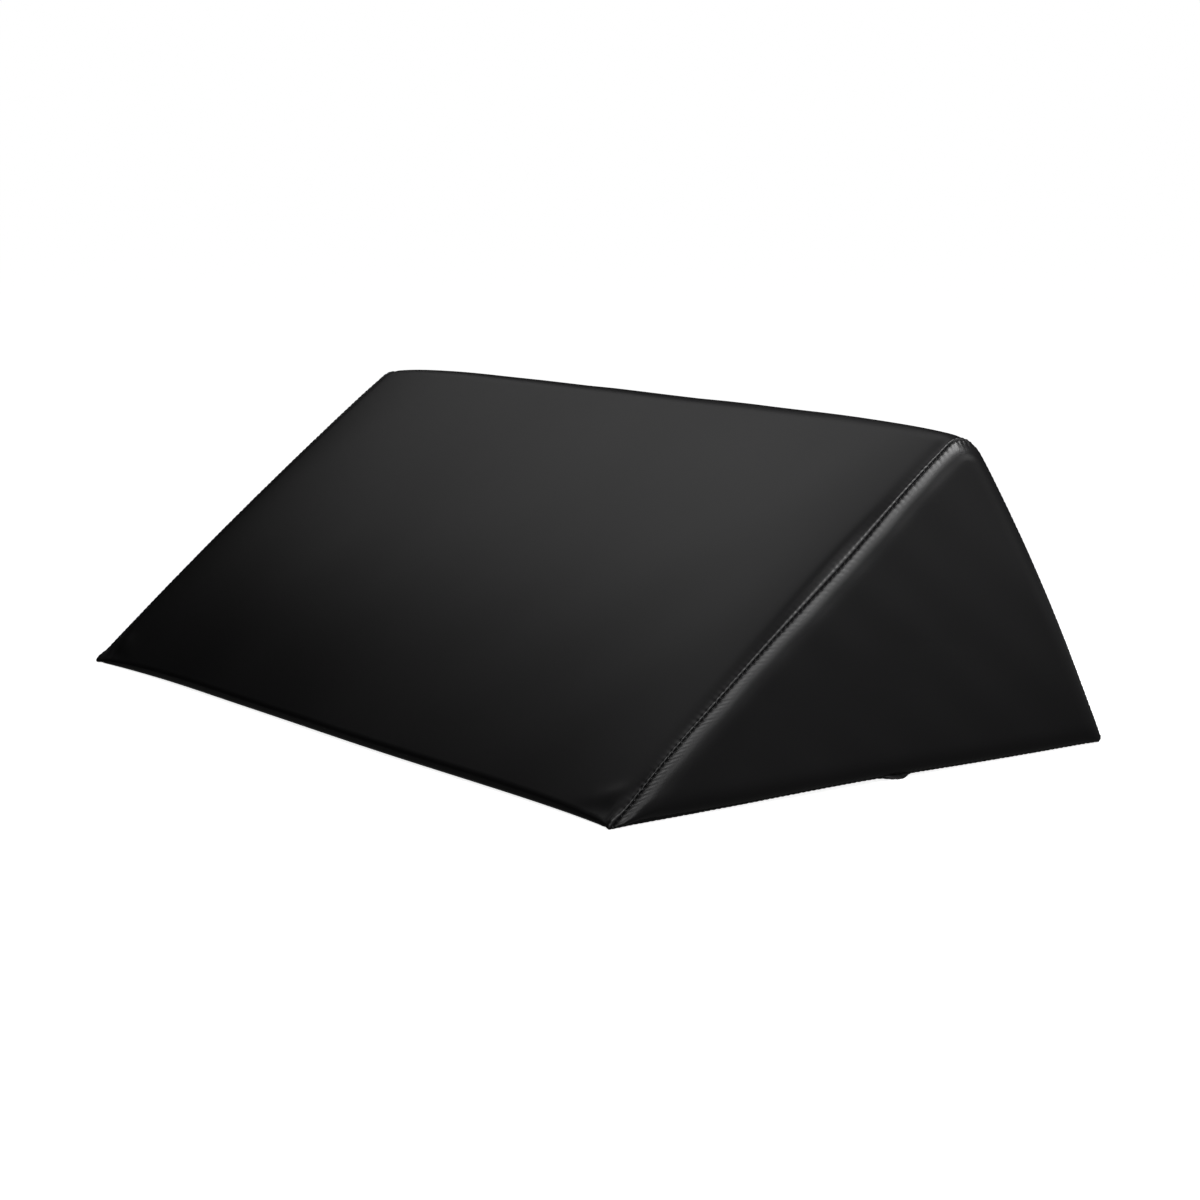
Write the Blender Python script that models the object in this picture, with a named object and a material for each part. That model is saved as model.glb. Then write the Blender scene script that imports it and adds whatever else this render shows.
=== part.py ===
"""A triangular massage cushion: one firm filled wedge in a black imitation leather cover.

Lengths are in metres. +X runs along the ridge, -Y is the low front toe, +Y is the steep back and
+Z is up. The origin lies on the floor under the middle of the cushion.

The cover is cut from three pieces. One wrap goes round the base, the slope, the ridge and the
back, and is built together with its filling as the body. A panel is sewn in at each end.
"""

import math

import bmesh
import bpy
from mathutils import Vector
from mathutils.geometry import intersect_line_sphere_2d, intersect_sphere_sphere_2d

# Driving dimensions, to the corners that the sides would have if they were sharp
SEAM_TO_SEAM = 0.600
DEPTH = 0.377
SEAM_HEIGHT = 0.201
RIDGE_SHARE = 0.679  # of the depth, from the toe back to the ridge
CENTRING = 0.00034  # the section moves forward by this, so that its rounded outline is centred

# Radii and bulges of the section: the first value at an end seam, the second in the middle
TOE_RADIUS = (0.0012, 0.0036)
HEEL_RADIUS = (0.0023, 0.0060)
RIDGE_RADIUS = (0.0190, 0.0200)
SLOPE_BULGE = (0.0038, 0.0083)
BACK_BULGE = (0.0056, 0.0093)
RIDGE_RISE = (0.0, 0.0049)
FILLING_REACH = 0.042  # how far from a seam the filling takes to round the cover out

# The seams: how far the wrap is drawn in, and over what distance it rolls into the seam
SEAM_ROLL = 0.0080
SIDE_DRAW_IN = 0.0020
RIDGE_DRAW_IN = 0.0008
CORNER_FADE = 0.040  # the draw-in grows to its full value this far from a toe or heel corner
RIDGE_FADE = 0.022

# The end panels: sheets that the filling pushes out
PANEL_THICKNESS = 0.0015
PANEL_CROWN = 0.0031
CROWN_REACH = 0.010
PANEL_STEP = 0.0004  # the panel's edge lies this far inside the wrap's edge
SEAM_GAP = 0.0003
BODY_SETBACK = 0.0009  # the body's end lies this far inside the seam plane

# The wrap's tuck under the right end, where the cloth is folded in at the seam
TUCK_OVERHANG = 0.0040
TUCK_PROFILE = ((0.0, 0.0), (0.0010, 1.0), (0.0025, 0.85), (0.0050, 0.30), (0.0080, 0.0))

# The wrap's lower edge at an end seam: (place across the depth, height over the floor, tuck share)
BASE_EDGE = (
    (-0.1500, 0.0014, 0.00),
    (-0.1050, 0.0024, 0.00),
    (-0.0650, 0.0034, 0.00),
    (-0.0300, 0.0042, 0.00),
    (-0.0050, 0.0044, 0.00),
    (0.0050, 0.0043, 0.12),
    (0.0120, 0.0042, 0.50),
    (0.0185, 0.0040, 0.90),
    (0.0245, 0.0038, 1.00),
    (0.0290, 0.0036, 0.55),
    (0.0330, 0.0034, 0.00),
    (0.0650, 0.0024, 0.00),
    (0.1050, 0.0019, 0.00),
    (0.1500, 0.0012, 0.00),
)

# Steps: distances of the wrap's rings from its end, and shares of the way in from an end's rim
RING_DISTANCES = (0.0, 0.001, 0.0025, 0.005, 0.008, 0.014, 0.024, 0.040, 0.065, 0.105, 0.165, 0.230)
END_RING_SHARES = (0.0, 0.018, 0.045, 0.085, 0.15, 0.25, 0.42, 0.68)
SIDE_STEPS = 14
RIDGE_STEPS = 9
CORNER_STEPS = 5

BODY_HALF_LENGTH = SEAM_TO_SEAM / 2 - BODY_SETBACK
TOE = Vector((-DEPTH / 2 - CENTRING, 0.0))
HEEL = Vector((DEPTH / 2 - CENTRING, 0.0))


def clear_scene():
    for thing in list(bpy.data.objects):
        bpy.data.objects.remove(thing)


def leather(name, colour, roughness):
    """A smooth imitation leather."""
    material = bpy.data.materials.new(name)
    material.use_nodes = True
    shader = material.node_tree.nodes["Principled BSDF"]
    shader.inputs["Base Color"].default_value = (*colour, 1.0)
    shader.inputs["Roughness"].default_value = roughness
    shader.inputs["Metallic"].default_value = 0.0
    return material


def blend(pair, share):
    """The value between a pair's seam value, at 0, and its middle value, at 1."""
    return pair[0] + (pair[1] - pair[0]) * share


def bulged_side(start, end, bulge):
    """Centre and radius of the arc from start to end that bulges outward."""
    chord = end - start
    radius = chord.length**2 / (8 * bulge) + bulge / 2
    outward = Vector((-chord.y, chord.x)).normalized()
    return (start + end) / 2 + outward * (bulge - radius), radius


def floor_corner(side_centre, side_radius, radius, toward):
    """Centre of the arc that joins a bulged side to the floor, at the end that lies toward."""
    level = (Vector((-DEPTH, radius)), Vector((DEPTH, radius)))
    meets = intersect_line_sphere_2d(*level, side_centre, side_radius - radius, False)
    return max(meets, key=lambda place: place.x * toward)


def bearing(centre, place):
    return math.atan2(place.y - centre.y, place.x - centre.x)


def arc_points(centre, radius, first, last, steps):
    """Points on an arc between two bearings, the short way round and without its last point."""
    turn = (last - first + math.pi) % math.tau - math.pi
    angles = [first + turn * step / steps for step in range(steps)]
    return [centre + radius * Vector((math.cos(angle), math.sin(angle))) for angle in angles]


def section(from_seam):
    """The wrap's outline across the depth, from the toe over the ridge to the heel and back."""
    filled = 1.0 - math.exp(-from_seam / FILLING_REACH)
    toe_radius = blend(TOE_RADIUS, filled)
    heel_radius = blend(HEEL_RADIUS, filled)
    ridge_radius = blend(RIDGE_RADIUS, filled)
    ridge_y = TOE.x + RIDGE_SHARE * DEPTH
    ridge = Vector((ridge_y, SEAM_HEIGHT + blend(RIDGE_RISE, filled)))

    slope_centre, slope_radius = bulged_side(TOE, ridge, blend(SLOPE_BULGE, filled))
    back_centre, back_radius = bulged_side(ridge, HEEL, blend(BACK_BULGE, filled))
    toe_centre = floor_corner(slope_centre, slope_radius, toe_radius, -1)
    heel_centre = floor_corner(back_centre, back_radius, heel_radius, 1)
    crossings = intersect_sphere_sphere_2d(
        slope_centre, slope_radius - ridge_radius, back_centre, back_radius - ridge_radius
    )
    ridge_centre = max(crossings, key=lambda place: place.y)

    down = -math.pi / 2
    toe_end = bearing(slope_centre, toe_centre)
    slope_end = bearing(slope_centre, ridge_centre)
    back_start = bearing(back_centre, ridge_centre)
    back_end = bearing(back_centre, heel_centre)
    points = arc_points(toe_centre, toe_radius, down, toe_end, CORNER_STEPS)
    points += arc_points(slope_centre, slope_radius, toe_end, slope_end, SIDE_STEPS)
    points += arc_points(ridge_centre, ridge_radius, slope_end, back_start, RIDGE_STEPS)
    points += arc_points(back_centre, back_radius, back_start, back_end, SIDE_STEPS)
    points += arc_points(heel_centre, heel_radius, back_end, down, CORNER_STEPS)
    points.append(Vector((heel_centre.x, 0.0)))
    points += [Vector((place, 0.0)) for place, _, _ in reversed(BASE_EDGE)]
    return points


def outward_at(points, index):
    """The direction away from the filling at one point of an outline."""
    along = points[(index + 1) % len(points)] - points[index - 1]
    return Vector((-along.y, along.x)).normalized()


def draw_in(point):
    """How far the seam pulls the wrap in at this point of the outline, away from the base."""
    from_corner = min((point - TOE).length, (point - HEEL).length)
    clear_of_corner = 1.0 - math.exp(-((from_corner / CORNER_FADE) ** 2))
    near_ridge = math.exp(-(((SEAM_HEIGHT - point.y) / RIDGE_FADE) ** 2))
    return clear_of_corner * blend((SIDE_DRAW_IN, RIDGE_DRAW_IN), near_ridge)


def rolled(from_seam):
    """Share of the draw-in that is left at this distance: a quarter of an ellipse."""
    way_in = max(0.0, 1.0 - from_seam / SEAM_ROLL)
    return 1.0 - math.sqrt(1.0 - way_in**2)


def tuck_at(from_seam):
    return dict(TUCK_PROFILE).get(from_seam, 0.0)


def ring(end, from_seam, inset=0.0):
    """The wrap's loop of points at this distance from one end: end is -1 or 1."""
    points = section(from_seam)
    base_start = len(points) - len(BASE_EDGE)
    share = rolled(from_seam)
    loop = []
    for index, point in enumerate(points):
        x = BODY_HALF_LENGTH - from_seam
        if index < base_start:
            pull = draw_in(point) * share + inset
            point = point - outward_at(points, index) * pull
        else:
            _, lift, tuck = BASE_EDGE[len(points) - 1 - index]
            tuck = tuck * tuck_at(from_seam) if end > 0 else 0.0
            point = point + Vector((0.0, lift * share * (1.0 - tuck) + inset))
            x += TUCK_OVERHANG * tuck
        loop.append(Vector((end * x, point.x, point.y)))
    return loop


def end_middle():
    """The place in an end panel that is equally far from the slope, the back and the floor."""
    ridge = Vector((TOE.x + RIDGE_SHARE * DEPTH, SEAM_HEIGHT))
    slope = (ridge - TOE).length
    back = (HEEL - ridge).length
    return (DEPTH * ridge + back * TOE + slope * HEEL) / (DEPTH + slope + back)


def end_rings(end, outline, offset):
    """Loops from an end's rim to near its middle, pushed out into its crown."""
    middle = end_middle()
    loops = []
    for share in END_RING_SHARES:
        crown = PANEL_CROWN * (1.0 - math.exp(-share * middle.y / CROWN_REACH))
        x = end * (BODY_HALF_LENGTH + offset + crown)
        flat = [Vector((point.y, point.z)).lerp(middle, share) for point in outline]
        loops.append([Vector((x, place.x, place.y)) for place in flat])
    return loops


def skin(mesh, loops):
    """Bridge each loop of points to the next one and close the two ends."""
    edge_loops = []
    for loop in loops:
        points = [mesh.verts.new(point) for point in loop]
        pairs = zip(points, points[1:] + points[:1])
        edge_loops.append([mesh.edges.new(pair) for pair in pairs])
    for first, second in zip(edge_loops, edge_loops[1:]):
        bmesh.ops.bridge_loops(mesh, edges=first + second)
    for edges in (edge_loops[0], edge_loops[-1]):
        cap = bmesh.ops.contextual_create(mesh, geom=edges)["faces"]
        bmesh.ops.poke(mesh, faces=cap)
    bmesh.ops.recalc_face_normals(mesh, faces=mesh.faces)


def solid(name, loops, material, sharp_degrees):
    """One closed body from loops of points."""
    mesh = bmesh.new()
    skin(mesh, loops)
    data = bpy.data.meshes.new(name)
    mesh.to_mesh(data)
    mesh.free()
    data.materials.append(material)
    data.shade_smooth()
    data.set_sharp_from_angle(angle=math.radians(sharp_degrees))
    thing = bpy.data.objects.new(name, data)
    bpy.context.scene.collection.objects.link(thing)
    return thing


def make_body():
    """The wrap with its filling: the left end's face, the rings along it, the right end's face."""
    left = [ring(-1, distance) for distance in RING_DISTANCES]
    middle = [ring(1, BODY_HALF_LENGTH)]
    right = [ring(1, distance) for distance in reversed(RING_DISTANCES)]
    left_face = end_rings(-1, left[0], 0.0)[:0:-1]
    right_face = end_rings(1, right[-1], 0.0)[1:]
    black = leather("wrap_leather", (0.0070, 0.0068, 0.0072), 0.38)
    return solid("cushion_body", left_face + left + middle + right + right_face, black, 50)


def make_end_panel(name, end):
    """The sheet that is sewn in at one end, from the middle of its inner face round its rim."""
    outline = ring(end, 0.0, inset=PANEL_STEP)
    inner = end_rings(end, outline, SEAM_GAP)
    outer = end_rings(end, outline, SEAM_GAP + PANEL_THICKNESS)
    black = leather(name + "_leather", (0.0062, 0.0062, 0.0064), 0.36)
    return solid(name, inner[::-1] + outer, black, 40)


clear_scene()
make_body()
make_end_panel("end_panel_left", -1)
make_end_panel("end_panel_right", 1)
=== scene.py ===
"""The looks of a triangular massage cushion: its sewn cover of black imitation leather, and a stage.

Lengths are metres, in the frame's own axes: +X along the ridge, -Y the low front toe, +Z up.
The cover is a wrap that goes round the filling and a panel sewn in at each end. The wrap and the
panels meet in a narrow groove, with the sewing thread at its bottom.
"""

import math

import bmesh
import bpy
import numpy as np
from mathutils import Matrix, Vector


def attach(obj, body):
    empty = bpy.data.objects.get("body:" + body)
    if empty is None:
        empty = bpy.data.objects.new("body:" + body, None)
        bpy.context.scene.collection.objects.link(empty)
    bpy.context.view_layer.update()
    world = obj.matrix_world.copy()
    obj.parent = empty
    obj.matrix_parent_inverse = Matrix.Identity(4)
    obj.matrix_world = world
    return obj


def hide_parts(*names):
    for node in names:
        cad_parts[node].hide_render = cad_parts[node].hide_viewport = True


bl_info = {
    "name": "Triangular massage cushion",
    "version": (1, 0, 0),
    "blender": (4, 5, 0),
    "location": "3D View > Sidebar > Cushion",
    "description": "Sews the cover of a triangular massage cushion and sets up its stage",
    "category": "Add Mesh",
}

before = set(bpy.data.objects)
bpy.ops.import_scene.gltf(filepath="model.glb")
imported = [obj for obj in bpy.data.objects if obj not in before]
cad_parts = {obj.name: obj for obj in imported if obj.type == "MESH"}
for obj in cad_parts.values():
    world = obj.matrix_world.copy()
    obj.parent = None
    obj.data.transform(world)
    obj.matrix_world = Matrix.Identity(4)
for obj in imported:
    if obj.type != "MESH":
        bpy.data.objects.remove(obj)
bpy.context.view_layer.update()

# The sewn wedge, to the corners that its sides would have if they were sharp
SEAM_X = 0.300
DEPTH = 0.377
SEAM_HEIGHT = 0.201
RIDGE_SHARE = 0.679
CENTRING = 0.00034

# Radii and bulges of the section: the first value at an end seam, the second in the middle
TOE_RADIUS = (0.0012, 0.0036)
HEEL_RADIUS = (0.0023, 0.0060)
RIDGE_RADIUS = (0.0190, 0.0200)
SLOPE_BULGE = (0.0038, 0.0083)
BACK_BULGE = (0.0056, 0.0093)
RIDGE_RISE = (0.0, 0.0049)
FILLING_REACH = 0.042

# How far the end seams draw the wrap in, and over what distance it rolls into them
SEAM_ROLL = 0.0090
SIDE_DRAW_IN = 0.0004
BACK_DRAW_IN = 0.0008
CORNER_FADE = 0.030

# Dips of a seam under the slope: height share, reach below and above it, and depth
SEAM_DIPS = (
    (0.66, 0.22, 0.14, 0.0028),
    (0.15, 0.12, 0.12, -0.0012),
)
LEFT_DIP_SHARE = 0.05

# Where the toe edge lies further out or in: place along the cushion, reach and distance
TOE_SHIFTS = (
    (0.070, 0.120, 0.0030),
    (-0.200, 0.060, -0.0015),
)
TOE_SHIFT_REACH = 0.050

TOE = np.array([-DEPTH / 2 - CENTRING, 0.0])
HEEL = np.array([DEPTH / 2 - CENTRING, 0.0])
RIDGE_Y = TOE[0] + RIDGE_SHARE * DEPTH

# Points round the section: a whole number to each stitch, and fewer away from the seams
POINTS_PER_STITCH = 6
MIDDLE_STRIDE = 3
STITCHES_DIVIDE_BY = 3

# The wrap's edge at a seam: distance from the seam plane, depth under the surface, pucker share
WRAP_EDGE = (
    (0.00035, 0.0026, 0.00),
    (0.00020, 0.0016, 0.20),
    (0.00020, 0.0009, 0.60),
    (0.00035, 0.00035, 1.00),
    (0.00065, 0.00008, 1.00),
    (0.0010, 0.0, 0.80),
    (0.0016, 0.00008, 0.50),
    (0.0025, 0.00022, 0.28),
    (0.0037, 0.00032, 0.15),
    (0.0052, 0.00030, 0.07),
    (0.0070, 0.00018, 0.03),
    (0.0094, 0.00005, 0.00),
)
WRAP_RINGS = (
    0.012, 0.016, 0.021, 0.027, 0.034, 0.042, 0.051, 0.061, 0.073, 0.087,
    0.103, 0.121, 0.141, 0.163, 0.187, 0.213, 0.241, 0.270,
)

# An end panel's edge at a seam: inset from the outline, height over the seam plane, pucker share
PANEL_EDGE = (
    (0.0030, 0.0007, 0.00),
    (0.0018, 0.0005, 0.20),
    (0.0009, 0.00045, 0.60),
    (0.0005, 0.0007, 1.00),
    (0.0005, 0.0011, 0.95),
    (0.0008, 0.0015, 0.70),
    (0.0014, 0.0019, 0.40),
    (0.0022, 0.00225, 0.20),
    (0.0033, 0.00255, 0.09),
    (0.0047, 0.0028, 0.03),
    (0.0064, 0.0029, 0.01),
    (0.0085, 0.0029, 0.00),
)
PANEL_MIDDLE_RINGS = (
    0.0110, 0.0140, 0.0175, 0.0215, 0.0260, 0.0310, 0.0370, 0.0430, 0.0500, 0.0580, 0.0660, 0.0740,
)
PANEL_THICKNESS = 0.0012
PANEL_CROWN_REACH = 0.013
PANEL_WAVES = (0.110, 0.080, 0.052, 0.035)
PANEL_WAVES_FROM = 0.006

# The base near an end: how high the wrap lifts off the floor toward the seam, and how high it
# rolls up the end before it meets the panel, at the toe corner and further on
BASE_LIFT = 0.0001
BASE_ARCH = 0.0015
BASE_ARCH_PLACE = -0.010
BASE_ARCH_WIDTH = 0.085
BASE_ARCH_REACH = 0.025
BASE_ROLL = 0.0018
BASE_ROLL_UP = 0.0012
TOE_ROLL_UP = 0.0016
TOE_ROLL_REACH = 0.070
BASE_CORNER_FADE = 0.012

# The tuck of folded cloth under the right end: it hangs to the floor and out past the seam
TUCK_PLACE = 0.020
TUCK_TOWARD_TOE = 0.017
TUCK_TOWARD_HEEL = 0.012
TUCK_OVERHANG = 0.0034
TUCK_SHARES = (0.0, 0.0, 0.25, 0.85, 1.0, 1.0, 0.96, 0.88, 0.74, 0.54, 0.32, 0.12)

# The lip that stands up where the end seams cross the ridge
EAR_HEIGHT = 0.0032
EAR_REACH = 0.008
RIDGE_DIP = 0.0014

# Creases, listed one by one, at the toe corners. On the wrap: distance from the seam, distance from
# the toe
# edge, turn in degrees, half length, half width and height. On a panel: the same, with the
# distance from the toe corner in place of the first.
WRAP_CREASES = (
    (0.0020, 0.0035, 80, 0.0045, 0.0035, 0.0018),
    (0.0062, 0.0110, 112, 0.0048, 0.0020, 0.0012),
    (0.0105, 0.0085, 125, 0.0060, 0.0024, -0.0011),
    (0.0040, 0.0210, 95, 0.0070, 0.0024, -0.0006),
    (0.0170, 0.0150, 150, 0.0080, 0.0028, 0.0006),
    (0.0260, 0.0060, 165, 0.0100, 0.0030, -0.0005),
)
PANEL_CREASES = (
    (0.0080, 0.0036, 20, 0.0024, 0.0014, 0.0010),
    (0.0150, 0.0060, 38, 0.0045, 0.0022, 0.0009),
    (0.0210, 0.0085, 30, 0.0090, 0.0028, -0.0006),
    (0.0340, 0.0190, 42, 0.0100, 0.0030, -0.0003),
)


# Stitches: depth in the groove, half length across it, its middle, slant and sides of the thread
STITCH_DEPTH = 0.0009
STITCH_REACH = 0.0009
STITCH_MIDDLE = 0.0002
STITCH_SLANT = 0.0006
THREAD_SIDES = 8


class ShapeSizes(bpy.types.PropertyGroup):
    """Sizes of the sewing that a user may change."""

    stitch_pitch: bpy.props.FloatProperty(
        name="Stitch pitch",
        description="Distance from one stitch of an end seam to the next",
        default=0.0038,
        unit="LENGTH",
    )
    pucker: bpy.props.FloatProperty(
        name="Pucker",
        description="How deep the leather dips beside each stitch",
        default=0.00030,
        unit="LENGTH",
    )
    panel_crown: bpy.props.FloatProperty(
        name="Panel crown",
        description="How far the filling pushes an end panel out",
        default=0.0042,
        unit="LENGTH",
    )
    thread: bpy.props.FloatProperty(
        name="Thread",
        description="Diameter of the sewing thread",
        default=0.0005,
        unit="LENGTH",
    )
    unevenness: bpy.props.FloatProperty(
        name="Unevenness",
        description="How far the cover lies in and out over the width of a hand",
        default=0.0004,
        unit="LENGTH",
    )


class LeatherLook(bpy.types.PropertyGroup):
    """Colour and gloss of the imitation leather."""

    colour: bpy.props.FloatVectorProperty(
        name="Colour",
        description="Colour of the leather",
        default=(0.0062, 0.0060, 0.0064),
        size=3,
        min=0.0,
        max=1.0,
        subtype="COLOR",
    )
    roughness: bpy.props.FloatProperty(
        name="Roughness",
        description="Roughness of the leather's satin coat",
        default=0.37,
        subtype="FACTOR",
        min=0.0,
        max=1.0,
    )
    grain_size: bpy.props.FloatProperty(
        name="Grain size",
        description="Width of one pebble of the embossed grain",
        default=0.0009,
        unit="LENGTH",
    )
    grain_depth: bpy.props.FloatProperty(
        name="Grain depth",
        description="Height of the embossed grain",
        default=0.00002,
        unit="LENGTH",
    )


# The section of the wedge

def blend(pair, share):
    """The value between a pair's seam value, at 0, and its middle value, at 1."""
    return pair[0] + (pair[1] - pair[0]) * share


def direction(angle):
    return np.array([math.cos(angle), math.sin(angle)])


def bearing(centre, place):
    return math.atan2(place[1] - centre[1], place[0] - centre[0])


def bulged_side(start, end, bulge):
    """Centre and radius of the arc from start to end that bulges outward."""
    chord = end - start
    length = np.hypot(*chord)
    radius = length**2 / (8 * bulge) + bulge / 2
    outward = np.array([-chord[1], chord[0]]) / length
    return (start + end) / 2 + outward * (bulge - radius), radius


def floor_corner(side, radius, toward):
    """Centre of the arc that joins a bulged side to the floor, at the end that lies toward."""
    centre, side_radius = side
    reach = math.sqrt((side_radius - radius) ** 2 - (radius - centre[1]) ** 2)
    return np.array([centre[0] + toward * reach, radius])


def ridge_corner(slope, back, radius):
    """Centre of the arc that joins the two bulged sides at the top."""
    (first, first_radius), (second, second_radius) = slope, back
    near, far = first_radius - radius, second_radius - radius
    gap = np.hypot(*(second - first))
    along = (second - first) / gap
    step = (near**2 - far**2 + gap**2) / (2 * gap)
    rise = math.sqrt(near**2 - step**2)
    up = np.array([-along[1], along[0]])
    crossings = (first + along * step + up * rise, first + along * step - up * rise)
    return max(crossings, key=lambda place: place[1])


def section_arcs(from_seam):
    """The section as arcs (centre, radius, first bearing, turn), from under the toe to the heel."""
    filled = 1.0 - math.exp(-from_seam / FILLING_REACH)
    ridge = np.array([RIDGE_Y, SEAM_HEIGHT + blend(RIDGE_RISE, filled)])
    slope = bulged_side(TOE, ridge, blend(SLOPE_BULGE, filled))
    back = bulged_side(ridge, HEEL, blend(BACK_BULGE, filled))
    toe_radius = blend(TOE_RADIUS, filled)
    heel_radius = blend(HEEL_RADIUS, filled)
    ridge_radius = blend(RIDGE_RADIUS, filled)
    toe = floor_corner(slope, toe_radius, -1)
    heel = floor_corner(back, heel_radius, 1)
    top = ridge_corner(slope, back, ridge_radius)
    down = -math.pi / 2
    bearings = (
        down,
        bearing(slope[0], toe),
        bearing(slope[0], top),
        bearing(back[0], top),
        bearing(back[0], heel),
        down,
    )
    centres = (toe, slope[0], top, back[0], heel)
    radii = (toe_radius, slope[1], ridge_radius, back[1], heel_radius)
    arcs = []
    for centre, radius, first, last in zip(centres, radii, bearings, bearings[1:]):
        turn = (last - first + math.pi) % math.tau - math.pi
        arcs.append((centre, radius, first, turn))
    return arcs


def shares_of_round(stitch_pitch):
    """How many points each arc and the base get, so that they lie evenly along the seam."""
    arcs = section_arcs(0.0)
    lengths = [abs(turn) * radius for _, radius, _, turn in arcs]
    lengths.append(arcs[-1][0][0] - arcs[0][0][0])
    total = sum(lengths)
    stitches = STITCHES_DIVIDE_BY * round(total / stitch_pitch / STITCHES_DIVIDE_BY)
    points = stitches * POINTS_PER_STITCH
    ends = np.round(np.cumsum(lengths) / total * points).astype(int)
    return np.diff(ends, prepend=0), stitches


def outline(from_seam, counts):
    """Points of the section and the directions out of it, both as arrays of pairs."""
    places, normals = [], []
    arcs = section_arcs(from_seam)
    for (centre, radius, first, turn), count in zip(arcs, counts):
        for step in range(count):
            out = direction(first + turn * step / count)
            places.append(centre + radius * out)
            normals.append(out)
    heel, toe = arcs[-1][0][0], arcs[0][0][0]
    for step in range(counts[-1]):
        places.append(np.array([heel + (toe - heel) * step / counts[-1], 0.0]))
        normals.append(np.array([0.0, -1.0]))
    return np.array(places), np.array(normals)


def bell(value, middle, below, above):
    """A smooth bump of height 1 at a middle, with its own reach on each side."""
    side = np.asarray(value) - middle
    return np.exp(-((side / np.where(side < 0, below, above)) ** 2))


def draw_in(places, normals, end, from_seam=0.0):
    """How far a seam pulls the wrap in at each point, at this distance from the seam."""
    from_corner = np.minimum(np.hypot(*(places - TOE).T), np.hypot(*(places - HEEL).T))
    share = places[:, 1] / SEAM_HEIGHT
    dips = sum(depth * bell(share, *where) for *where, depth in SEAM_DIPS)
    front = SIDE_DRAW_IN + dips * (1.0 if end > 0 else LEFT_DIP_SHARE)
    facing = 0.5 - 0.5 * np.tanh(3.0 * normals[:, 0])
    side = blend((BACK_DRAW_IN, front), facing)
    side += RIDGE_DIP * bell(share, 1.0, 0.06, 0.06)
    side = side * (1.0 - np.exp(-((from_corner / CORNER_FADE) ** 2)))

    across = places[:, 0]
    arch = BASE_LIFT + BASE_ARCH * bell(
        across, BASE_ARCH_PLACE, BASE_ARCH_WIDTH, BASE_ARCH_WIDTH
    )
    up = BASE_ROLL_UP + TOE_ROLL_UP * bell(across, TOE[0], TOE_ROLL_REACH, TOE_ROLL_REACH)
    base = arch * way_in(from_seam, BASE_ARCH_REACH) ** 2
    base += up * (1.0 - math.sqrt(1.0 - way_in(from_seam, BASE_ROLL) ** 2))
    base = base * (1.0 - np.exp(-((from_corner / BASE_CORNER_FADE) ** 2)))
    under = np.clip(-normals[:, 1], 0.0, 1.0) ** 2
    return side * way_in(from_seam, SEAM_ROLL) ** 2 * (1.0 - under) + base * under


def way_in(from_seam, reach):
    """1 at a seam, down to 0 at the reach."""
    return min(max(1.0 - from_seam / reach, 0.0), 1.0)


def toe_shift(x, places):
    """How far forward the points of a section lie, most at the toe."""
    shift = sum(depth * bell(x, place, reach, reach) for place, reach, depth in TOE_SHIFTS)
    return shift * np.exp(-np.hypot(*(places - TOE).T) / TOE_SHIFT_REACH)


def tuck_lobe(across):
    """How much of the tuck there is at each place across the depth: 1 at its middle."""
    side = across - TUCK_PLACE
    reach = np.where(side < 0, TUCK_TOWARD_TOE, TUCK_TOWARD_HEEL)
    return 0.5 + 0.5 * np.cos(math.pi * np.clip(side / reach, -1.0, 1.0))


def ear(places):
    """How much of the lip at the ridge there is at each point of the outline."""
    return EAR_HEIGHT * np.exp(-(((SEAM_HEIGHT - places[:, 1]) / EAR_REACH) ** 2))


def creases(table, along, across):
    """Height of soft ridges and troughs at places given by two lengths."""
    total = 0.0
    for first, second, turn, half_length, half_width, height in table:
        run = direction(math.radians(turn))
        lengthwise = (along - first) * run[0] + (across - second) * run[1]
        sideways = (across - second) * run[0] - (along - first) * run[1]
        total = total + height * np.exp(
            -((lengthwise / half_length) ** 2) - (sideways / half_width) ** 2
        )
    return total


# Unevenness of the sewing and of the filling

def pucker_wave(count, stitches, seed):
    """A dip beside each stitch of a seam, each a little different: 1 at a stitch, 0 between."""
    random = np.random.default_rng(seed)
    strength = random.uniform(0.45, 1.35, stitches)
    place = np.arange(count) / POINTS_PER_STITCH
    near = np.round(place).astype(int) % stitches
    return strength[near] * (0.5 + 0.5 * np.cos(math.tau * place)) ** 1.5


def slow_waves(along, across, seed, lengths=(0.23, 0.17, 0.11, 0.08)):
    """A smooth uneven field of about -1 to 1 over places given in metres."""
    random = np.random.default_rng(seed)
    total = 0.0
    for length in lengths:
        angle, phase = random.uniform(0, math.tau, 2)
        run = math.cos(angle) * along + math.sin(angle) * across
        total = total + np.sin(math.tau * run / length + phase)
    return total / len(lengths)


# Rings of points made into a skin

def first_ring(mesh, points):
    """A closed ring of edges through points, as its vertices."""
    ring = [mesh.verts.new(point) for point in points]
    for pair in zip(ring, ring[1:] + ring[:1]):
        mesh.edges.new(pair)
    return ring


def edges_of(mesh, ring):
    return [mesh.edges.get(pair) for pair in zip(ring, ring[1:] + ring[:1])]


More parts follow.
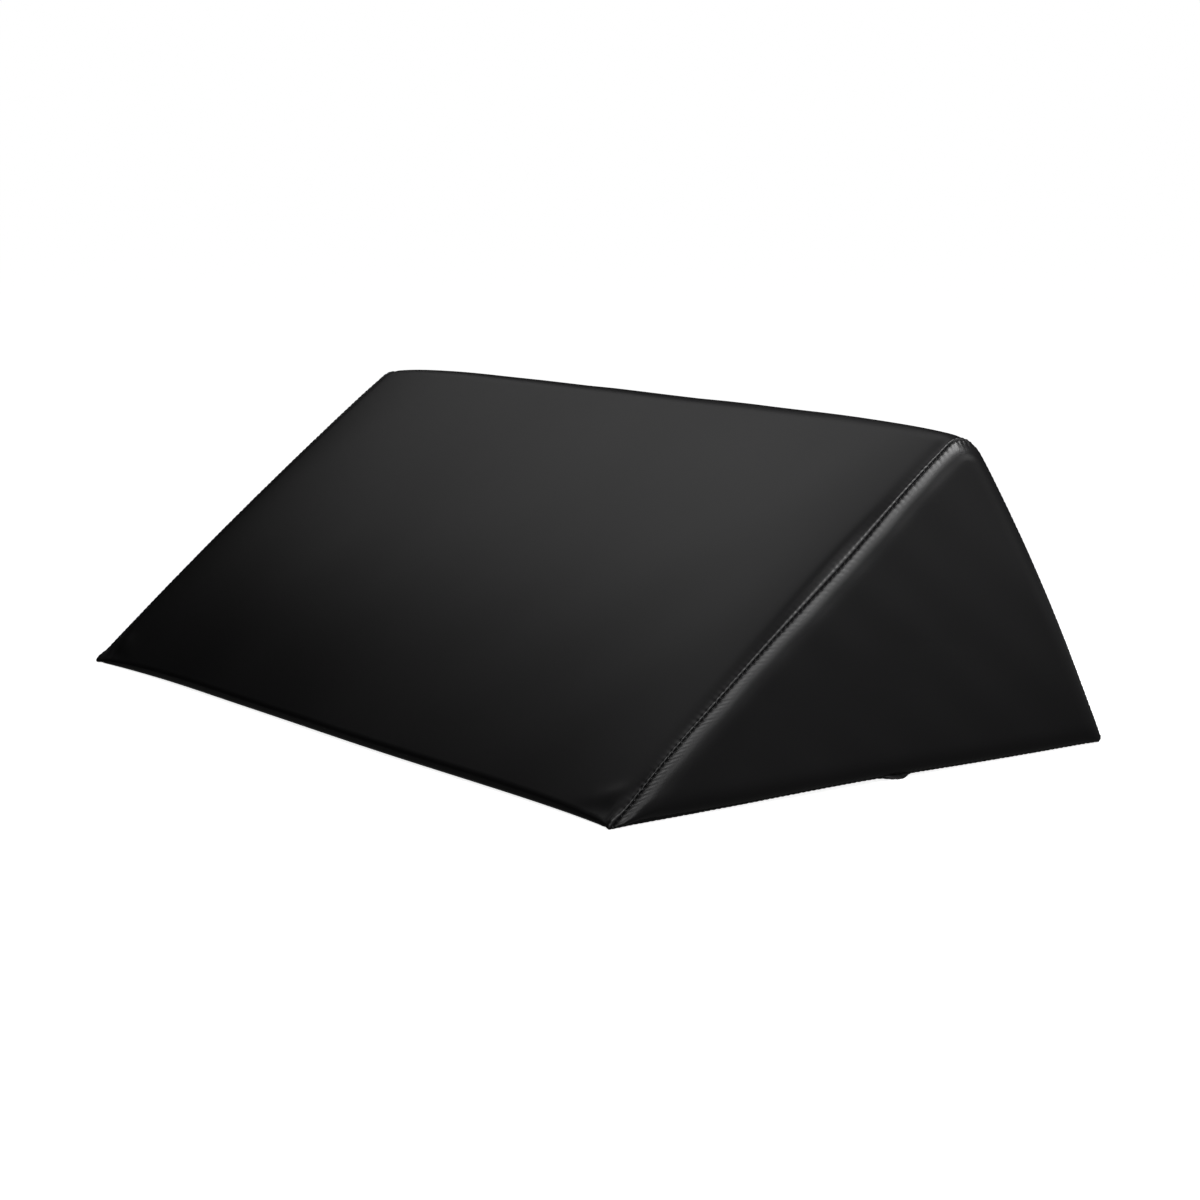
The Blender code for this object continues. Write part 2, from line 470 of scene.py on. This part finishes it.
def next_ring(mesh, ring, points):
    """The next ring of the skin: extruded, or with one face to each edge of the coarser ring."""
    if len(points) != len(ring):
        after = first_ring(mesh, points)
        fine, coarse = (ring, after) if len(ring) > len(after) else (after, ring)
        step = len(fine) // len(coarse)
        for place, vertex in enumerate(coarse):
            run = [fine[(place * step + more) % len(fine)] for more in range(step + 1)]
            mesh.faces.new(run + [coarse[(place + 1) % len(coarse)], vertex])
        return after
    made = bmesh.ops.extrude_edge_only(mesh, edges=edges_of(mesh, ring))["geom"]
    fresh = {part for part in made if isinstance(part, bmesh.types.BMVert)}
    after = []
    for vertex, point in zip(ring, points):
        partner = next(x for e in vertex.link_edges if (x := e.other_vert(vertex)) in fresh)
        partner.co = point
        after.append(partner)
    return after


def close_with_point(mesh, ring):
    """A fan from a ring to the point in its middle."""
    middle = sum((vertex.co for vertex in ring), Vector()) / len(ring)
    tip = next_ring(mesh, ring, [middle] * len(ring))
    bmesh.ops.pointmerge(mesh, verts=tip, merge_co=middle)


def closed_skin(rings):
    """A closed mesh through rings of points, with a fan at each end."""
    mesh = bmesh.new()
    first = ring = first_ring(mesh, rings[0])
    for points in rings[1:]:
        ring = next_ring(mesh, ring, points)
    close_with_point(mesh, first)
    close_with_point(mesh, ring)
    return mesh


def finished(name, mesh, material):
    """A piece of the cover from a finished mesh, riding on the cushion's one body."""
    bmesh.ops.recalc_face_normals(mesh, faces=mesh.faces)
    data = bpy.data.meshes.new(name)
    mesh.to_mesh(data)
    mesh.free()
    data.materials.append(material)
    data.shade_smooth()
    piece = bpy.data.objects.new(name, data)
    bpy.context.scene.collection.objects.link(piece)
    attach(piece, "root")
    return piece


def wrap_loop(end, x, places):
    """Points at this distance from the middle of the cushion, one for all or one for each."""
    x = np.broadcast_to(x, len(places))
    return [Vector((end * a, place[0], place[1])) for a, place in zip(x, places)]


def make_wrap(sizes, material):
    """The wrap with its filling, from the groove at the left end to the groove at the right."""
    counts, stitches = shares_of_round(sizes.stitch_pitch)
    halves = []
    for end in (-1, 1):
        wave = pucker_wave(int(sum(counts)), stitches, seed=11 + end)
        loops = []
        for (from_seam, depth, share), tuck_share in zip(WRAP_EDGE, TUCK_SHARES):
            places, normals = outline(from_seam, counts)
            under = np.clip(-normals[:, 1], 0.0, 1.0)
            tuck = tuck_lobe(places[:, 0]) * tuck_share * under * (end > 0)
            from_toe = places[:, 1] + np.abs(places[:, 0] - TOE[0]) * under
            sink = draw_in(places, normals, end, from_seam) * (1.0 - tuck) + depth
            sink += wave * share * sizes.pucker - ear(places) * share**2
            sink -= creases(WRAP_CREASES, from_seam, from_toe) * (1.0 - under) * min(share * 4, 1)
            x = SEAM_X - from_seam + TUCK_OVERHANG * tuck
            places = places - normals * sink[:, None]
            places[:, 0] -= toe_shift(end * (SEAM_X - from_seam), places)
            loops.append((x, places))
        for from_seam in WRAP_RINGS:
            places, normals = outline(from_seam, counts)
            x = SEAM_X - from_seam
            fade = 1.0 - math.exp(-from_seam / FILLING_REACH)
            waves = slow_waves(end * x, np.cumsum(np.full(len(places), 0.00063)), seed=5)
            upward = np.clip(normals[:, 1] + 1.0, 0.0, 1.0)
            lift = sizes.unevenness * fade * waves
            lift += creases(WRAP_CREASES, from_seam, places[:, 1])
            lift = lift * upward - draw_in(places, normals, end, from_seam)
            places = places + normals * lift[:, None]
            places[:, 0] -= toe_shift(end * x, places)
            loops.append((x, places[::MIDDLE_STRIDE]))
        halves.append([wrap_loop(end, x, places) for x, places in loops])
    places, _ = outline(SEAM_X, counts)
    places[:, 0] -= toe_shift(0.0, places)
    middle = wrap_loop(1, 0.0, places[::MIDDLE_STRIDE])
    mesh = closed_skin(halves[0] + [middle] + halves[1][::-1])
    return finished("cover_wrap", mesh, material)


def make_stitches(name, end, sizes, material):
    """The sewing thread at the bottom of an end groove: one short bar across it at each stitch."""
    counts, stitches = shares_of_round(sizes.stitch_pitch)
    seam, normals = outline(0.0, counts)
    sink = draw_in(seam, normals, end) + STITCH_DEPTH
    places = (seam - normals * sink[:, None])[::POINTS_PER_STITCH]
    outward = normals[::POINTS_PER_STITCH]
    mesh = bmesh.new()
    for place, out in zip(places, outward):
        along = np.array([-out[1], out[0]]) * STITCH_SLANT
        rings = []
        for x, side in ((-STITCH_REACH, -1), (0.0, 0), (STITCH_REACH, 1)):
            rise = sizes.thread / 2 * (1 - abs(side))
            middle = place + along * side + out * rise
            ring = []
            for step in range(THREAD_SIDES):
                angle = math.tau * step / THREAD_SIDES
                point = middle + out * math.cos(angle) * sizes.thread / 2
                point = point + np.array([-out[1], out[0]]) * math.sin(angle) * sizes.thread / 2
                ring.append(mesh.verts.new((end * (SEAM_X + STITCH_MIDDLE + x), *point)))
            rings.append(ring)
        for first, second in zip(rings, rings[1:]):
            for step in range(THREAD_SIDES):
                after = (step + 1) % THREAD_SIDES
                mesh.faces.new((first[step], first[after], second[after], second[step]))
        mesh.faces.new(rings[0][::-1])
        mesh.faces.new(rings[-1])
    return finished(name, mesh, material)


def panel_middle():
    """The place in an end panel that is equally far from the slope, the back and the floor."""
    ridge = np.array([RIDGE_Y, SEAM_HEIGHT])
    slope = np.hypot(*(ridge - TOE))
    back = np.hypot(*(HEEL - ridge))
    return (DEPTH * ridge + back * TOE + slope * HEEL) / (DEPTH + slope + back)


def side_distance(places, start, end):
    """Distance of places inward from the straight line from start to end."""
    along = (end - start) / np.hypot(*(end - start))
    return (places[:, 0] - start[0]) * along[1] - (places[:, 1] - start[1]) * along[0]


def panel_sides(rim, counts):
    """The rim's three sides, each with its chord and how far the rim lies off it."""
    ridge = np.array([RIDGE_Y, SEAM_HEIGHT])
    top = int(counts[0] + counts[1] + counts[2] // 2)
    heel = int(sum(counts[:5]))
    sides = []
    for start, end, run in (
        (TOE, ridge, rim[: top + 1]),
        (ridge, HEEL, rim[top : heel + 1]),
        (HEEL, TOE, rim[heel:]),
    ):
        along = (end - start) / np.hypot(*(end - start))
        place = (run - start) @ along
        order = np.argsort(place)
        sides.append((start, end, along, place[order], side_distance(run, start, end)[order]))
    return sides


def panel_crown(places, sides):
    """Share of the crown that the filling gives an end panel at these places."""
    room = 1.0
    for start, end, along, rim_place, rim_distance in sides:
        rim_here = np.interp((places - start) @ along, rim_place, rim_distance)
        distance = side_distance(places, start, end) - rim_here
        room = room * (1.0 - np.clip(1.0 - distance / PANEL_CROWN_REACH, 0.0, 1.0) ** 2)
    return room


def make_end_panel(name, end, sizes, material):
    """One end panel: a thin sheet whose edge rolls over the filling's corner into the groove."""
    counts, stitches = shares_of_round(sizes.stitch_pitch)
    seam, normals = outline(0.0, counts)
    rim = seam - normals * draw_in(seam, normals, end)[:, None]
    rim[:, 0] -= toe_shift(end * SEAM_X, rim)
    wave = pucker_wave(int(sum(counts)), stitches, seed=31 + end)
    middle = panel_middle()
    sides = panel_sides(rim, counts)

    flat_height = PANEL_EDGE[-1][1]
    rows = [(*row, 1) for row in PANEL_EDGE]
    rows += [(inset, flat_height, 0.0, MIDDLE_STRIDE) for inset in PANEL_MIDDLE_RINGS]

    def panel_loop(inset, height, share, stride, skin):
        """A loop at this inset from the rim, on the outer face or on the face under it."""
        dip = wave * share * sizes.pucker
        lip = ear(rim) * share**2
        places = rim + (middle - rim) * (inset / middle[1]) + normals * (lip - dip)[:, None]
        rise = height + sizes.panel_crown * panel_crown(places, sides) - dip - skin
        rise += creases(PANEL_CREASES, places[:, 0] - TOE[0], places[:, 1]) * min(inset / 0.002, 1)
        waves = slow_waves(*places.T, seed=17 + end, lengths=PANEL_WAVES)
        rise += sizes.unevenness * waves * min(inset / PANEL_WAVES_FROM, 1.0)
        x = end * (SEAM_X + rise)
        points = [Vector((a, b[0], b[1])) for a, b in zip(x, places)]
        return points[::stride]

    outer = [panel_loop(*row, 0.0) for row in rows]
    inner = [panel_loop(*row, PANEL_THICKNESS) for row in rows[len(PANEL_EDGE):]]
    mesh = closed_skin(inner[::-1] + outer)
    return finished(name, mesh, material)


# Shader maths

class Wire:
    """A socket that takes part in arithmetic."""

    def __init__(self, nodes, socket):
        self.nodes = nodes
        self.socket = socket

    def maths(self, operation, first, second):
        node = self.nodes.add("ShaderNodeMath", {"operation": operation}, {0: first, 1: second})
        return node.out("Value")

    def __add__(self, other):
        return self.maths("ADD", self, other)

    __radd__ = __add__

    def __mul__(self, other):
        return self.maths("MULTIPLY", self, other)

    __rmul__ = __mul__

    def __sub__(self, other):
        return self.maths("SUBTRACT", self, other)

    def __rsub__(self, other):
        return self.maths("SUBTRACT", other, self)


class Node:
    """A node whose outputs are wires."""

    def __init__(self, nodes, node):
        self.nodes = nodes
        self.node = node

    def out(self, name):
        return Wire(self.nodes, self.node.outputs[name])


class Nodes:
    """The node tree of one material."""

    def __init__(self, name):
        self.material = bpy.data.materials.new(name)
        self.material.use_nodes = True
        self.tree = self.material.node_tree
        self.shader = self.tree.nodes["Principled BSDF"]

    def add(self, kind, settings, sockets):
        """A node of this type, with its settings and the values or links of its sockets."""
        node = self.tree.nodes.new(kind)
        for key, value in settings.items():
            setattr(node, key, value)
        for key, value in sockets.items():
            self.feed(node.inputs[key], value)
        return Node(self, node)

    def feed(self, socket, value):
        if isinstance(value, Wire):
            self.tree.links.new(value.socket, socket)
        else:
            socket.default_value = value

    def finish(self, **sockets):
        for key, value in sockets.items():
            self.feed(self.shader.inputs[key.replace("_", " ")], value)
        return self.material


def leather(name, look):
    """Satin imitation leather: fine embossed grain, and a gloss that wanders a little."""
    nodes = Nodes(name)
    place = nodes.add("ShaderNodeTexCoord", {}, {}).out("Object")
    grain = nodes.add(
        "ShaderNodeTexVoronoi",
        {"feature": "F1"},
        {"Vector": place, "Scale": 1.0 / look.grain_size},
    ).out("Distance")
    fine = nodes.add(
        "ShaderNodeTexNoise",
        {},
        {"Vector": place, "Scale": 900.0, "Detail": 3.0, "Roughness": 0.6},
    ).out("Fac")
    cloudy = nodes.add(
        "ShaderNodeTexNoise",
        {},
        {"Vector": place, "Scale": 9.0, "Detail": 2.0, "Roughness": 0.5},
    ).out("Fac")
    height = (1.0 - grain) * 0.7 + fine * 0.3
    bump = nodes.add(
        "ShaderNodeBump",
        {},
        {"Strength": 0.5, "Distance": look.grain_depth, "Height": height},
    ).out("Normal")
    dark = (*look.colour, 1.0)
    light = (*(channel * 1.35 for channel in look.colour), 1.0)
    tone = nodes.add(
        "ShaderNodeMix",
        {"data_type": "RGBA"},
        {"Factor": cloudy, "A": dark, "B": light},
    )
    roughness = look.roughness - 0.03 + cloudy * 0.06
    nodes.tree.links.new(tone.node.outputs[2], nodes.shader.inputs["Base Color"])
    return nodes.finish(Roughness=roughness, Normal=bump, IOR=1.45)


def sewing_thread(name):
    """Black polyester thread with a slight sheen."""
    nodes = Nodes(name)
    return nodes.finish(Base_Color=(0.012, 0.012, 0.013, 1.0), Roughness=0.32)


# Operators and panel

class CUSHION_OT_cover(bpy.types.Operator):
    """Sew the wrap and both end panels"""

    bl_idname = "cushion.cover"
    bl_label = "Sew the cover"

    def execute(self, context):
        sizes = context.scene.cushion_sizes
        look = context.scene.cushion_leather
        wrap = make_wrap(sizes, leather("wrap_leather", look))
        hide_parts("cushion_body")
        panel_leather = leather("end_leather", look)
        thread = sewing_thread("thread")
        for name, end in (("left", -1), ("right", 1)):
            panel = make_end_panel("cover_end_" + name, end, sizes, panel_leather)
            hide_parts("end_panel_" + name)
            stitches = make_stitches("stitches_" + name, end, sizes, thread)
        return {"FINISHED"}


FLOOR_REACH = 14.0
CAMERA_AZIMUTH = math.radians(53.94)
CAMERA_ELEVATION = math.radians(8.83)
CAMERA_DISTANCE = 1.779
CAMERA_TARGET = Vector((0.0, -0.00034, 0.080))
SENSOR_WIDTH = 36.0
FRAME_PIXELS = 1200
FOCAL_PIXELS = 2728.0
AXIS_PIXEL = (561.46, 578.74)


def seen_from_cushion(azimuth, elevation):
    """Direction at an azimuth from -Y toward +X and an elevation over the floor."""
    flat = math.cos(elevation)
    return Vector(
        (math.sin(azimuth) * flat, -math.cos(azimuth) * flat, math.sin(elevation))
    )


def make_camera():
    data = bpy.data.cameras.new("camera")
    data.sensor_width = SENSOR_WIDTH
    data.lens = FOCAL_PIXELS * SENSOR_WIDTH / FRAME_PIXELS
    data.shift_x = 0.5 - AXIS_PIXEL[0] / FRAME_PIXELS
    data.shift_y = AXIS_PIXEL[1] / FRAME_PIXELS - 0.5
    camera = bpy.data.objects.new("camera", data)
    back = seen_from_cushion(CAMERA_AZIMUTH, CAMERA_ELEVATION)
    camera.location = CAMERA_TARGET + back * CAMERA_DISTANCE
    camera.rotation_mode = "QUATERNION"
    camera.rotation_quaternion = (-back).to_track_quat("-Z", "Y")
    bpy.context.scene.collection.objects.link(camera)
    bpy.context.scene.camera = camera


# Soft boxes: name, azimuth and elevation seen from the cushion, distance, width, height, watts
SOFT_BOXES = (
    ("box_high_left", 250, 60, 1.6, 1.40, 1.00, 1.8),
    ("box_left", 262, 40, 1.5, 0.80, 0.80, 0.72),
    ("box_high_right", 72, 52, 1.5, 0.70, 0.70, 6.4),
    ("box_right", 112, 48, 0.9, 0.34, 0.34, 4.4),
    ("box_side", 93, 33, 1.4, 0.55, 0.55, 1.8),
    ("box_low_right", 125, 15, 1.5, 0.50, 0.40, 1.4),
    ("box_low_front", 75, 10, 1.5, 0.60, 0.50, 2.4),
)


def make_soft_box(name, azimuth, elevation, distance, width, height, power):
    data = bpy.data.lights.new(name, "AREA")
    data.shape = "RECTANGLE"
    data.size = width
    data.size_y = height
    data.energy = power
    light = bpy.data.objects.new(name, data)
    way = seen_from_cushion(math.radians(azimuth), math.radians(elevation))
    light.location = CAMERA_TARGET + way * distance
    light.rotation_mode = "QUATERNION"
    light.rotation_quaternion = (-way).to_track_quat("-Z", "Y")
    bpy.context.scene.collection.objects.link(light)


def glow(name, base, near, far, start, end):
    """Painted light: a matt paint whose emission glows from a near value to a far value with
    distance from the middle, though it is no lamp.
    """
    nodes = Nodes(name)
    place = nodes.add("ShaderNodeTexCoord", {}, {}).out("Object")
    away = nodes.add("ShaderNodeVectorMath", {"operation": "LENGTH"}, {"Vector": place})
    strength = nodes.add(
        "ShaderNodeMapRange",
        {},
        {
            "Value": away.out("Value"),
            "From Min": start,
            "From Max": end,
            "To Min": near,
            "To Max": far,
        },
    ).out("Result")
    return nodes.finish(
        Roughness=0.9,
        Base_Color=(base, base, base, 1.0),
        Specular_IOR_Level=0.0,
        Emission_Color=strength,
        Emission_Strength=1.0,
    )


def make_ground(name, reach, height, paint):
    mesh = bmesh.new()
    bmesh.ops.create_circle(mesh, cap_ends=True, segments=96, radius=reach)
    bmesh.ops.translate(mesh, verts=mesh.verts, vec=(0.0, 0.0, height))
    data = bpy.data.meshes.new(name)
    mesh.to_mesh(data)
    mesh.free()
    data.materials.append(paint)
    ground = bpy.data.objects.new(name, data)
    bpy.context.scene.collection.objects.link(ground)
    return ground


def make_floor():
    """A white floor for the camera, and the dim one that the cushion mirrors; both glow as painted
    light, the first brighter away from the cushion, the second a painted reflection with painted
    shade near the cushion.
    """
    # Painted light: the camera's floor glows from 0.86 near the cushion up to 1.0 far away, so the
    # far floor reads white where the soft boxes barely reach
    floor = make_ground("floor", FLOOR_REACH, 0.0, glow("floor_painted_glow", 0.8, 0.86, 1.0, 0.5, 1.6))
    floor.visible_glossy = False
    floor.visible_diffuse = False
    # Painted reflection: a glowing disc hidden from the camera for the leather to mirror, dim near
    # the cushion as painted shade on the floor and brighter further out
    dim = make_ground("dim_floor", 3.0, -0.001, glow("dim_floor_painted_reflection", 0.0, 0.06, 0.33, 0.85, 0.95))
    dim.visible_camera = False
    dim.visible_shadow = False


class CUSHION_OT_stage(bpy.types.Operator):
    """Set up the floor, the soft light and the camera"""

    bl_idname = "cushion.stage"
    bl_label = "Set up the stage"

    def execute(self, context):
        scene = context.scene
        scene.view_settings.view_transform = "Standard"
        world = bpy.data.worlds.new("studio")
        world.use_nodes = True
        world.node_tree.nodes["Background"].inputs["Color"].default_value = (1, 1, 1, 1)
        world.node_tree.nodes["Background"].inputs["Strength"].default_value = 1.0
        world.cycles_visibility.diffuse = False
        world.cycles_visibility.glossy = False
        scene.world = world
        make_floor()
        for row in SOFT_BOXES:
            make_soft_box(*row)
        make_camera()
        return {"FINISHED"}


class CUSHION_PT_panel(bpy.types.Panel):
    """The cushion's sizes, looks and operators"""

    bl_idname = "CUSHION_PT_panel"
    bl_label = "Triangular cushion"
    bl_space_type = "VIEW_3D"
    bl_region_type = "UI"
    bl_category = "Cushion"

    def draw(self, context):
        scene = context.scene
        for group in (scene.cushion_sizes, scene.cushion_leather):
            for key in group.bl_rna.properties.keys():
                if key not in ("rna_type", "name"):
                    self.layout.prop(group, key)
        self.layout.operator(CUSHION_OT_cover.bl_idname)
        self.layout.operator(CUSHION_OT_stage.bl_idname)


CLASSES = (ShapeSizes, LeatherLook, CUSHION_OT_cover, CUSHION_OT_stage, CUSHION_PT_panel)


def register():
    for kind in CLASSES:
        bpy.utils.register_class(kind)
    bpy.types.Scene.cushion_sizes = bpy.props.PointerProperty(type=ShapeSizes)
    bpy.types.Scene.cushion_leather = bpy.props.PointerProperty(type=LeatherLook)


def unregister():
    del bpy.types.Scene.cushion_leather
    del bpy.types.Scene.cushion_sizes
    for kind in reversed(CLASSES):
        bpy.utils.unregister_class(kind)


def main():
    register()
    bpy.ops.cushion.cover()
    bpy.ops.cushion.stage()


if __name__ == "__main__":
    main()
